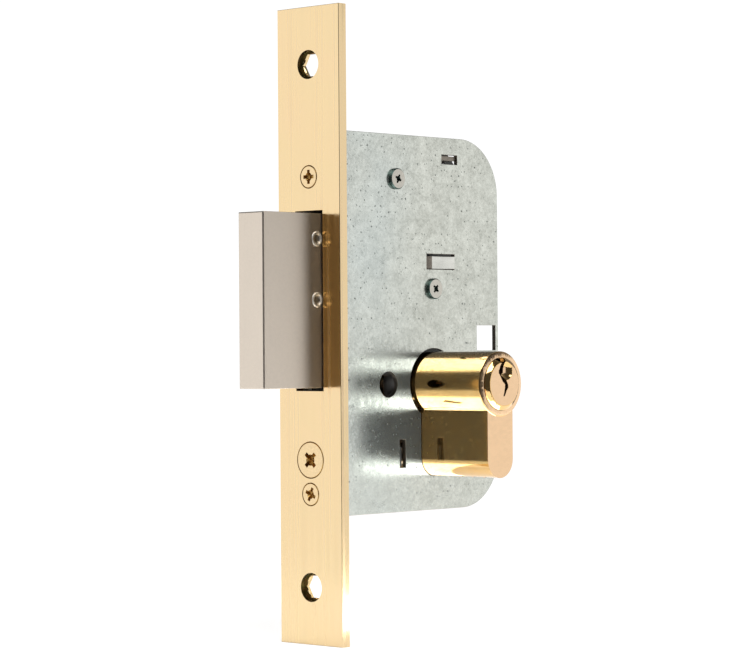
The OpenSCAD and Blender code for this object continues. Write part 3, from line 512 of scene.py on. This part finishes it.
def lock_materials(scene):
    """Every finish of the lock by name; the record's slots are among them."""
    plate, case = scene.deadlock_plate, scene.deadlock_case
    bolt, cylinder = scene.deadlock_bolt, scene.deadlock_cylinder
    upright = (9000.0, 9000.0, 70.0)
    along = (70.0, 9000.0, 9000.0)
    plain = tuple(bolt.steel)
    return {
        "faceplate_brass": satin_brass(plate),
        "milled_brass": belted_metal("milled_brass", cylinder.end_face, 0.16,
                                     (2500.0, 2500.0, 2500.0), 0.004 * MM, shade=0.96),
        # Near-black sheet painted on the inner faces as their shade.
        "shaded_inside_sheet": belted_metal("shaded_inside_sheet", case.inside, 0.5, (900.0,) * 3,
                                      0.02 * MM, shade=0.8),
        # A lighter zinc painted on the pressed-in tab as a highlight.
        "tab_highlight_sheet": belted_metal("tab_highlight_sheet", (0.82, 0.82, 0.76), 0.2,
                                     (900.0, 900.0, 3000.0), 0.01 * MM, shade=0.85),
        # Near-black green painted on the pan heads' flanks and recesses as their shade.
        "shaded_screw_flanks": belted_metal("shaded_screw_flanks", (0.06, 0.09, 0.08), 0.4,
                                     (3000.0,) * 3, 0.01 * MM),
        "cut_brass": punched_brass(plate),
        # Dark brown painted as shade in the bolt's hole and the keyways.
        "deep_shade_brass": belted_metal("deep_shade_brass", (0.22, 0.13, 0.05), 0.4, (4000.0,) * 3,
                                   0.01 * MM),
        # Brown painted as shade in the plate's other holes and round the brass screw heads.
        "brown_shade_brass": belted_metal("brown_shade_brass", (0.52, 0.32, 0.10), 0.4,
                                        (4000.0,) * 3, 0.01 * MM),
        "punched_edge": belted_metal("punched_edge", case.cut, 0.38, (5000.0, 90.0, 5000.0),
                                     0.012 * MM, shade=0.75),
        "brass_screws": belted_metal("brass_screws", plate.screw_brass, 0.2,
                                     (6000.0,) * 3, 0.004 * MM),
        # The bolt's browner tone in the faceplate's mirror image of it is a painted
        # reflection.
        "bolt_steel": belted_metal("bolt_steel", bolt.nickel, bolt.roughness,
                                   (5200.0, 5200.0, 4400.0), 0.009 * MM, shade=0.96,
                                   painted_reflection_tone=(1.0, 0.68, 0.34)),
        # Rivets: the darker tone is painted shade for their dishes, the pale one a painted
        # highlight on their rims.
        "rivet_steel": belted_metal("rivet_steel", (0.38, 0.35, 0.31), 0.34, (3000.0,) * 3,
                                    0.004 * MM, painted_reflection_tone=(0.80, 0.55, 0.27)),
        "rivet_rim_highlights": belted_metal("rivet_rim_highlights", (0.78, 0.74, 0.66), 0.45, (3000.0,) * 3,
                                   0.004 * MM, painted_reflection_tone=(0.50, 0.34, 0.16)),
        "tail_steel": belted_metal("tail_steel", plain, 0.34, along, 0.01 * MM),
        "tumbler_steel": belted_metal("tumbler_steel", (0.34, 0.34, 0.35), 0.38, upright,
                                      0.01 * MM),
        "turned_steel": belted_metal("turned_steel", (0.52, 0.52, 0.52), 0.22,
                                     (60.0, 8000.0, 60.0), 0.006 * MM),
        "plated_steel": belted_metal("plated_steel", (0.62, 0.62, 0.60), 0.3, upright,
                                     0.008 * MM),
        "plated_screws": belted_metal("plated_screws", (0.64, 0.61, 0.54), 0.24,
                                      (5000.0,) * 3, 0.004 * MM),
        "pin_brass": belted_metal("pin_brass", (0.80, 0.62, 0.34), 0.2,
                                  (60.0, 60.0, 8000.0), 0.004 * MM),
        "cam_steel": belted_metal("cam_steel", (0.30, 0.29, 0.28), 0.45, (1500.0,) * 3,
                                  0.02 * MM),
        "spring_wire": belted_metal("spring_wire", (0.48, 0.48, 0.49), 0.25, (3000.0,) * 3,
                                    0.003 * MM),
        "galvanised_sheet": galvanised_sheet(case),
        "cylinder_brass": polished_brass(cylinder),
    }


MATERIALS = {}


def material_of(node):
    """A node's slot in the record and the finish of that name."""
    if not MATERIALS:
        MATERIALS.update(lock_materials(bpy.context.scene))
    slots = {row["node"]: row["material_slot"] for row in frame["record"]["subparts"]}
    return slots[node], MATERIALS[slots[node]]


def body_of(node):
    return next(body for body, nodes in frame["record"]["behaviour"]["bodies"].items()
                if node in nodes)


# ----------------------------------------------------------------- pieces

def select_only(piece):
    bpy.ops.object.select_all(action="DESELECT")
    piece.select_set(True)
    bpy.context.view_layer.objects.active = piece


def finish_in_place(*nodes):
    """CAD nodes whose shape is right keep it and get their metal."""
    for node in nodes:
        mesh = frame["nodes"][node].data
        mesh.materials.clear()
        mesh.materials.append(material_of(node)[1])


def pick_faces(piece, wanted):
    """In edit mode, selects the faces that wanted() picks and no others."""
    bpy.ops.mesh.select_all(action="DESELECT")
    bpy.ops.object.mode_set(mode="OBJECT")
    for face in piece.data.polygons:
        face.select = wanted(face.center, face.normal)
    bpy.ops.object.mode_set(mode="EDIT")


def dish_rivets(piece):
    """Turns the domes on the rivets' ends into rims with a dish inside."""
    low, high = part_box("bolt_rivets")
    bpy.ops.object.mode_set(mode="OBJECT")
    for vertex in piece.data.vertices:
        for end, inwards in ((low[1], 1), (high[1], -1)):
            fall = (vertex.co.y - end) * inwards
            if fall < RIVET_CREST * 1.1:
                depth = RIVET_DISH * max(1 - fall / RIVET_CREST, 0)
                vertex.co.y = end + inwards * depth
                break


def settle_order(piece):
    """Lists corners and faces by their place, since extruding lists them in any order."""
    bpy.ops.object.mode_set(mode="OBJECT")
    loose = piece.data
    order = sorted(range(len(loose.vertices)), key=lambda corner: tuple(
        round(part / MERGE) for part in loose.vertices[corner].co))
    rank = {corner: place for place, corner in enumerate(order)}
    faces = []
    for face in loose.polygons:
        ring = [rank[corner] for corner in face.vertices]
        first = ring.index(min(ring))
        faces.append(ring[first:] + ring[:first])
    settled = bpy.data.meshes.new(loose.name)
    settled.from_pydata([tuple(loose.vertices[corner].co) for corner in order], [],
                        sorted(faces))
    piece.data = settled


def on_tab(place):
    """Whether a place lies on the lanced tab or its lip."""
    spare = 0.2 * MM
    return (TAB_END[0] - TAB_LIP - spare < place.x < TAB_END[0] + TAB_LENGTH
            and abs(place.z - TAB_END[1]) < TAB_HALF)


def drawn_tab(piece):
    """Draws the lanced tab out to a thinner lip that nearly closes its window."""
    pick_faces(piece, lambda middle, normal: normal.x < -0.99
               and on_tab(middle) and abs(middle.x - TAB_END[0]) < 0.2 * MM)
    bpy.ops.mesh.extrude_region_move(
        TRANSFORM_OT_translate={"value": (-TAB_LIP, 0, 0)})
    bpy.ops.object.mode_set(mode="OBJECT")
    front = min(vertex.co.y for vertex in piece.data.vertices if vertex.select)
    for vertex in piece.data.vertices:
        vertex.select = vertex.select and vertex.co.y < front + TOUCH
    bpy.ops.object.mode_set(mode="EDIT")
    bpy.ops.mesh.select_mode(type="VERT")
    bpy.ops.transform.translate(value=(0, TAB_LIP_FALL, 0))
    bpy.ops.mesh.select_mode(type="FACE")
    settle_order(piece)


def merged_copy(node, name):
    """A copy of a node, merged and left in edit mode with all of it selected."""
    piece = bpy.data.objects.new(name, frame["nodes"][node].data.copy())
    bpy.context.scene.collection.objects.link(piece)
    select_only(piece)
    bpy.ops.object.mode_set(mode="EDIT")
    bpy.ops.mesh.select_all(action="SELECT")
    bpy.ops.mesh.remove_doubles(threshold=MERGE)
    return piece


def stand_for(piece, node):
    """The piece takes the node's metal, body and place in the picture."""
    slot, material = material_of(node)
    piece.data.materials.clear()
    piece.data.materials.append(material)
    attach(piece, body_of(node))
    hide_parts(node)


def live_spring(node, name):
    """A coil spring, smooth shaded, riding where the node rides."""
    piece = merged_copy(node, name)
    bpy.ops.object.mode_set(mode="OBJECT")
    bpy.ops.object.shade_smooth_by_angle(angle=SMOOTH_ANGLE)
    stand_for(piece, node)
    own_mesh(piece)


def rounded_piece(node, name, radius, segments=2, rework=None, slivers=False):
    """A copy of a node with its sharp edges rounded, riding where the node rides.

    rework(piece) changes its shape first; slivers drops what the rounding left flat."""
    piece = merged_copy(node, name)
    bpy.ops.mesh.dissolve_limited(angle_limit=FLAT_ANGLE)
    if rework:
        rework(piece)
    bpy.ops.object.mode_set(mode="OBJECT")
    bevel = piece.modifiers.new("broken_edges", "BEVEL")
    bevel.width = radius
    bevel.segments = segments
    bevel.limit_method = "ANGLE"
    bevel.angle_limit = SMOOTH_ANGLE
    bpy.ops.object.modifier_apply(modifier=bevel.name)
    if slivers:
        bpy.ops.object.mode_set(mode="EDIT")
        bpy.ops.mesh.select_all(action="SELECT")
        bpy.ops.mesh.dissolve_degenerate(threshold=SLIVER)
        bpy.ops.object.mode_set(mode="OBJECT")
    bpy.ops.object.shade_smooth_by_angle(angle=SMOOTH_ANGLE)
    weighted = piece.modifiers.new("flat_faces", "WEIGHTED_NORMAL")
    weighted.keep_sharp = True
    bpy.ops.object.modifier_apply(modifier=weighted.name)
    stand_for(piece, node)
    return piece


def paint_faces(piece, finish, wanted):
    """A second finish on the faces that wanted() picks by their middle and their normal."""
    mesh = piece.data
    mesh.materials.append(MATERIALS[finish])
    for face in mesh.polygons:
        if wanted(face.center, face.normal):
            face.material_index = len(mesh.materials) - 1


class DEADLOCK_OT_faceplate(bpy.types.Operator):
    """Satin brass faceplate with broken edges, and the bar behind it"""
    bl_idname = "deadlock.faceplate"
    bl_label = "Faceplate"

    def execute(self, context):
        edge = context.scene.deadlock_plate.edge
        plate = rounded_piece("faceplate", "brass_faceplate", edge)
        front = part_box("faceplate")[0]
        inside = abs(front[1]) - PLATE_RIM
        fixings = [mount["pos_m"][2] for mount in frame["record"]["mounts"]
                   if mount["name"].startswith("fixing")]
        bolt_low, bolt_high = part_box("bolt_head")

        def hole_wall(middle, normal):
            return abs(normal.x) < WALL and abs(middle.y) < inside

        def behind_front(middle):
            return middle.x > front[0] + edge / 4

        # Hole walls behind the front painted dark as shade.
        paint_faces(plate, "deep_shade_brass", lambda middle, normal:
                    hole_wall(middle, normal) and behind_front(middle))
        # Walls of holes away from the bolt get a browner painted shade instead.
        paint_faces(plate, "brown_shade_brass", lambda middle, normal:
                    hole_wall(middle, normal) and behind_front(middle)
                    and not bolt_low[2] - MM < middle.z < bolt_high[2] + MM)
        for finish, level_too in (("milled_brass", True), ("cut_brass", False)):
            paint_faces(plate, finish, lambda middle, normal:
                        hole_wall(middle, normal)
                        and (level_too or abs(normal.z) < WALL)
                        and any(abs(middle.z - fixing) < FIXING_REACH
                                for fixing in fixings))
        rounded_piece("forend_bar", "forend_strip", 2 * edge)
        return {"FINISHED"}


class DEADLOCK_OT_case(bpy.types.Operator):
    """Galvanised case plate and cover with punched edges, and their posts"""
    bl_idname = "deadlock.case"
    bl_label = "Case"

    def execute(self, context):
        edge = context.scene.deadlock_case.edge
        lug_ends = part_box("case_cover")[1][1]
        far_sheet = rounded_piece("case_plate", "far_case_sheet", edge)
        # Inner faces painted near black as shade.
        paint_faces(far_sheet, "shaded_inside_sheet", lambda middle, normal: normal.y < -0.5)
        paint_faces(far_sheet, "punched_edge", lambda middle, normal:
                    abs(normal.y) < FACING or middle.y < lug_ends and middle.z > 0)
        near_sheet = rounded_piece("case_cover", "near_case_sheet", edge, rework=drawn_tab,
                                   slivers=True)
        # Inner faces painted near black as shade.
        paint_faces(near_sheet, "shaded_inside_sheet", lambda middle, normal: normal.y > 0.5)
        paint_faces(near_sheet, "punched_edge", lambda middle, normal:
                    abs(normal.y) < FACING)
        # The pressed-in face of the tab painted lighter as a highlight.
        paint_faces(near_sheet, "tab_highlight_sheet", lambda middle, normal:
                    normal.y < -WALL and on_tab(middle)
                    and middle.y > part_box("case_cover")[0][1] + TAB_PRESSED)
        # The drawn lip: its end is the tab's cut edge, and its front fills the groove with
        # the cut edge's grey as painted shade.
        paint_faces(near_sheet, "punched_edge", lambda middle, normal:
                    on_tab(middle) and middle.x < TAB_END[0])
        finish_in_place("upper_post", "lower_post")
        return {"FINISHED"}


class DEADLOCK_OT_bolt(bpy.types.Operator):
    """Bolt head, its tail, rivets and stump"""
    bl_idname = "deadlock.bolt"
    bl_label = "Bolt"

    def execute(self, context):
        settings = context.scene.deadlock_bolt
        rounded_piece("bolt_head", "bolt_block", settings.head_edge, segments=4)
        rounded_piece("bolt_tail", "bolt_tail_sheet", settings.edge)
        rivets = rounded_piece("bolt_rivets", "dished_rivets", RIVET_EDGE,
                               rework=dish_rivets)
        # Painted shade over the whole rivet first, then a painted highlight on its rims.
        paint_faces(rivets, "rivet_steel", lambda middle, normal: True)
        low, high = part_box("bolt_rivets")
        paint_faces(rivets, "rivet_rim_highlights", lambda middle, normal:
                    min(middle.y - low[1], high[1] - middle.y) < RIVET_EDGE)
        finish_in_place("bolt_stump")
        return {"FINISHED"}


class DEADLOCK_OT_tumbler(bpy.types.Operator):
    """Tumbler plate and its spring"""
    bl_idname = "deadlock.tumbler"
    bl_label = "Tumbler"

    def execute(self, context):
        rounded_piece("tumbler", "tumbler_sheet", context.scene.deadlock_bolt.edge)
        live_spring("tumbler_spring", "coil_spring")
        return {"FINISHED"}


class DEADLOCK_OT_cylinder(bpy.types.Operator):
    """Polished housing and plugs, the cam, the clutch and the pins"""
    bl_idname = "deadlock.cylinder"
    bl_label = "Cylinder"

    def execute(self, context):
        edge = context.scene.deadlock_cylinder.edge
        for node, name, radius in (("cylinder_housing", "brass_housing", edge),
                                   ("near_plug", "brass_near_plug", edge / 2),
                                   ("far_plug", "brass_far_plug", edge / 2)):
            turned = rounded_piece(node, name, radius)
            paint_faces(turned, "milled_brass", lambda middle, normal:
                        abs(normal.y) > FACING)
            if node != "cylinder_housing":
                # Keyway walls painted dark as shade.
                paint_faces(turned, "deep_shade_brass", lambda middle, normal:
                            abs(normal.y) < 0.3
                            and math.hypot(middle.x, middle.z) < KEYWAY_REACH)
        rounded_piece("cylinder_cam", "cam_ring", 2 * edge)
        finish_in_place("clutch")
        for end in ("near", "far"):
            finish_in_place(*(f"{end}_{part}" for part in (
                "key_pins", "driver_pins", "pin_springs", "circlip")))
        finish_in_place("chamber_caps")
        return {"FINISHED"}


class DEADLOCK_OT_screws(bpy.types.Operator):
    """Cover screws, faceplate screws and the cylinder screw"""
    bl_idname = "deadlock.screws"
    bl_label = "Screws"

    def execute(self, context):
        edge = context.scene.deadlock_cylinder.edge / 2
        pan_heads = rounded_piece("cover_screws", "pan_head_screws", edge)
        # Painted shade on the flanks and recesses of the pan heads.
        paint_faces(pan_heads, "shaded_screw_flanks", lambda middle, normal:
                    abs(normal.y) < FACING)
        for node, name in (("faceplate_screws", "small_brass_screws"),
                           ("cylinder_screw", "large_brass_screw")):
            screw = rounded_piece(node, name, edge)
            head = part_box(node)[0][0]
            # Every face of a head but its front painted brown as shade: a dark ring round
            # the head and in its recess.
            paint_faces(screw, "brown_shade_brass", lambda middle, normal:
                        middle.x < head + SCREW_HEAD_REACH
                        and (middle.x > head + edge / 2 or normal.x > -0.95))
        return {"FINISHED"}


# ------------------------------------------------------------------ stage

LOCK_MIDDLE = Vector((0, 0, 0.015))
FLOOR_RADIUS = 0.22
FLOOR_GLOW = 0.2

# How bright the room is in reflections, on its dark side, to the eye and for soft light.
ROOM_LEVEL = 0.2
DARK_SIDE = (-0.34, -0.92, 0.17)
DARK_LEVEL = 0.058
EYE_LEVEL = 1.05
FLOOR_LIGHT = 1.0

# Direction from the lock, distance, size and brightness of each soft box.
SOFT_BOXES = {
    "right_front_box": ((0.85, -0.527, -0.05), 1.1, (1.25, 0.6), 0.82),
    "left_back_box": ((-0.731, 0.682, 0.1), 1.1, (1.8, 1.4), 0.86),
    "top_front_box": ((-0.18, -0.66, 0.73), 1.2, (0.86, 0.75), 4.2),
}
# A glowing card lies on the floor under the near side: its middle, size and brightness.
CARD_MIDDLE = (-8 * MM, -64 * MM, 1 * MM)
CARD_SIZE = (110 * MM, 60 * MM)
CARD_BRIGHTNESS = 5.0


def soft_box(name, direction, distance, size, brightness):
    """A rectangular soft box that faces the lock, as bright as that many white papers."""
    light = bpy.data.lights.new(name, "AREA")
    light.shape = "RECTANGLE"
    light.size, light.size_y = size
    light.energy = brightness * math.pi * size[0] * size[1]
    lamp = bpy.data.objects.new(name, light)
    bpy.context.scene.collection.objects.link(lamp)
    towards = Vector(direction).normalized()
    lamp.location = LOCK_MIDDLE + distance * towards
    lamp.rotation_euler = (-towards).to_track_quat("-Z", "Y").to_euler()
    return lamp


def glowing_card():
    """A bright card on the floor that only shiny metal sees."""
    card = soft_box("low_front_card", (0, 0, -1), 0, CARD_SIZE, CARD_BRIGHTNESS)
    card.location = Vector(CARD_MIDDLE) + Vector((0, 0, cad_box[0][2]))
    card.rotation_euler = (math.pi, 0, 0)
    card.visible_camera = False
    card.visible_diffuse = False


def backdrop(settings):
    """Round pale floor that the lock stands on."""
    bpy.ops.object.select_all(action="DESELECT")
    bpy.ops.mesh.primitive_circle_add(vertices=96, radius=FLOOR_RADIUS, fill_type="NGON",
                                      location=(0, 0, cad_box[0][2]))
    floor = bpy.context.object
    floor.name = "pale_floor"
    material = bpy.data.materials.new("pale_floor")
    material.use_nodes = True
    shader = material.node_tree.nodes["Principled BSDF"]
    shader.inputs["Base Color"].default_value = (*settings.floor_tone, 1)
    shader.inputs["Roughness"].default_value = 0.9
    shader.inputs["Specular IOR Level"].default_value = 0.1
    shader.inputs["Emission Color"].default_value = (1, 1, 1, 1)
    seen = add_node(material.node_tree, "ShaderNodeLightPath").outputs["Is Camera Ray"]
    glow = maths(material.node_tree, "MULTIPLY", seen, FLOOR_GLOW)
    material.node_tree.links.new(glow, shader.inputs["Emission Strength"])
    floor.data.materials.append(material)


def studio_world():
    """White to the eye and for soft light; a dim room with a dark side in reflections."""
    world = bpy.data.worlds.new("studio")
    bpy.context.scene.world = world
    world.use_nodes = True
    tree = world.node_tree
    tree.nodes.clear()
    direction = add_node(tree, "ShaderNodeTexCoord").outputs["Generated"]
    towards_dark = add_node(tree, "ShaderNodeVectorMath", {
        0: direction, 1: DARK_SIDE}, operation="DOT_PRODUCT").outputs["Value"]
    room = remap(tree, towards_dark, 0.1, 0.5, ROOM_LEVEL, DARK_LEVEL)
    path = add_node(tree, "ShaderNodeLightPath").outputs
    level = room
    for ray, seen_level in (("Is Camera Ray", EYE_LEVEL), ("Is Diffuse Ray", FLOOR_LIGHT)):
        level = add_node(tree, "ShaderNodeMix", {0: path[ray], 2: level, 3: seen_level},
                         data_type="FLOAT").outputs[0]
    light = add_node(tree, "ShaderNodeBackground", {
        "Color": (1, 1, 1, 1), "Strength": level})
    output = add_node(tree, "ShaderNodeOutputWorld")
    tree.links.new(light.outputs[0], output.inputs["Surface"])


def studio_camera(settings):
    """Camera from the stage's own settings."""
    camera = bpy.data.cameras.new("camera")
    camera.lens = settings.lens
    camera.sensor_width = 36.0
    camera.clip_start = 0.01
    camera.clip_end = 50.0
    holder = bpy.data.objects.new("camera", camera)
    bpy.context.scene.collection.objects.link(holder)
    turn = (Matrix.Rotation(settings.heading - math.pi / 2, 4, "Z")
            @ Matrix.Rotation(math.pi / 2 + settings.pitch, 4, "X")
            @ Matrix.Rotation(settings.roll, 4, "Z"))
    holder.matrix_world = Matrix.Translation(settings.camera_place) @ turn
    bpy.context.scene.camera = holder


class DEADLOCK_OT_stage(bpy.types.Operator):
    """Floor, soft lights and camera"""
    bl_idname = "deadlock.stage"
    bl_label = "Stage"

    def execute(self, context):
        settings = context.scene.deadlock_stage
        context.scene.view_settings.view_transform = "Standard"
        context.scene.view_settings.look = "None"
        studio_camera(settings)
        backdrop(settings)
        studio_world()
        for name, lamp in SOFT_BOXES.items():
            soft_box(name, *lamp)
        glowing_card()
        return {"FINISHED"}


STEPS = ("faceplate", "case", "bolt", "tumbler", "cylinder", "screws", "stage")


class DEADLOCK_PT_panel(bpy.types.Panel):
    """Lists the steps that dress the lock"""
    bl_idname = "DEADLOCK_PT_panel"
    bl_label = "Deadlock"
    bl_space_type = "VIEW_3D"
    bl_region_type = "UI"
    bl_category = "Deadlock"

    def draw(self, context):
        scene = context.scene
        for name in SETTINGS:
            group = getattr(scene, name)
            box = self.layout.box()
            for key in group.__annotations__:
                box.prop(group, key)
        for step in STEPS:
            self.layout.operator(f"deadlock.{step}")


SETTINGS = {
    "deadlock_plate": PlateSettings,
    "deadlock_case": CaseSettings,
    "deadlock_bolt": BoltSettings,
    "deadlock_cylinder": CylinderSettings,
    "deadlock_stage": StageSettings,
}
CLASSES = (
    *SETTINGS.values(), DEADLOCK_OT_faceplate, DEADLOCK_OT_case, DEADLOCK_OT_bolt,
    DEADLOCK_OT_tumbler, DEADLOCK_OT_cylinder, DEADLOCK_OT_screws, DEADLOCK_OT_stage,
    DEADLOCK_PT_panel)


def register():
    for cls in CLASSES:
        bpy.utils.register_class(cls)
    for name, cls in SETTINGS.items():
        setattr(bpy.types.Scene, name, bpy.props.PointerProperty(type=cls))


def unregister():
    for name in SETTINGS:
        delattr(bpy.types.Scene, name)
    for cls in reversed(CLASSES):
        bpy.utils.unregister_class(cls)


def main():
    register()
    for step in STEPS:
        getattr(bpy.ops.deadlock, step)()


if __name__ == "__main__":
    main()
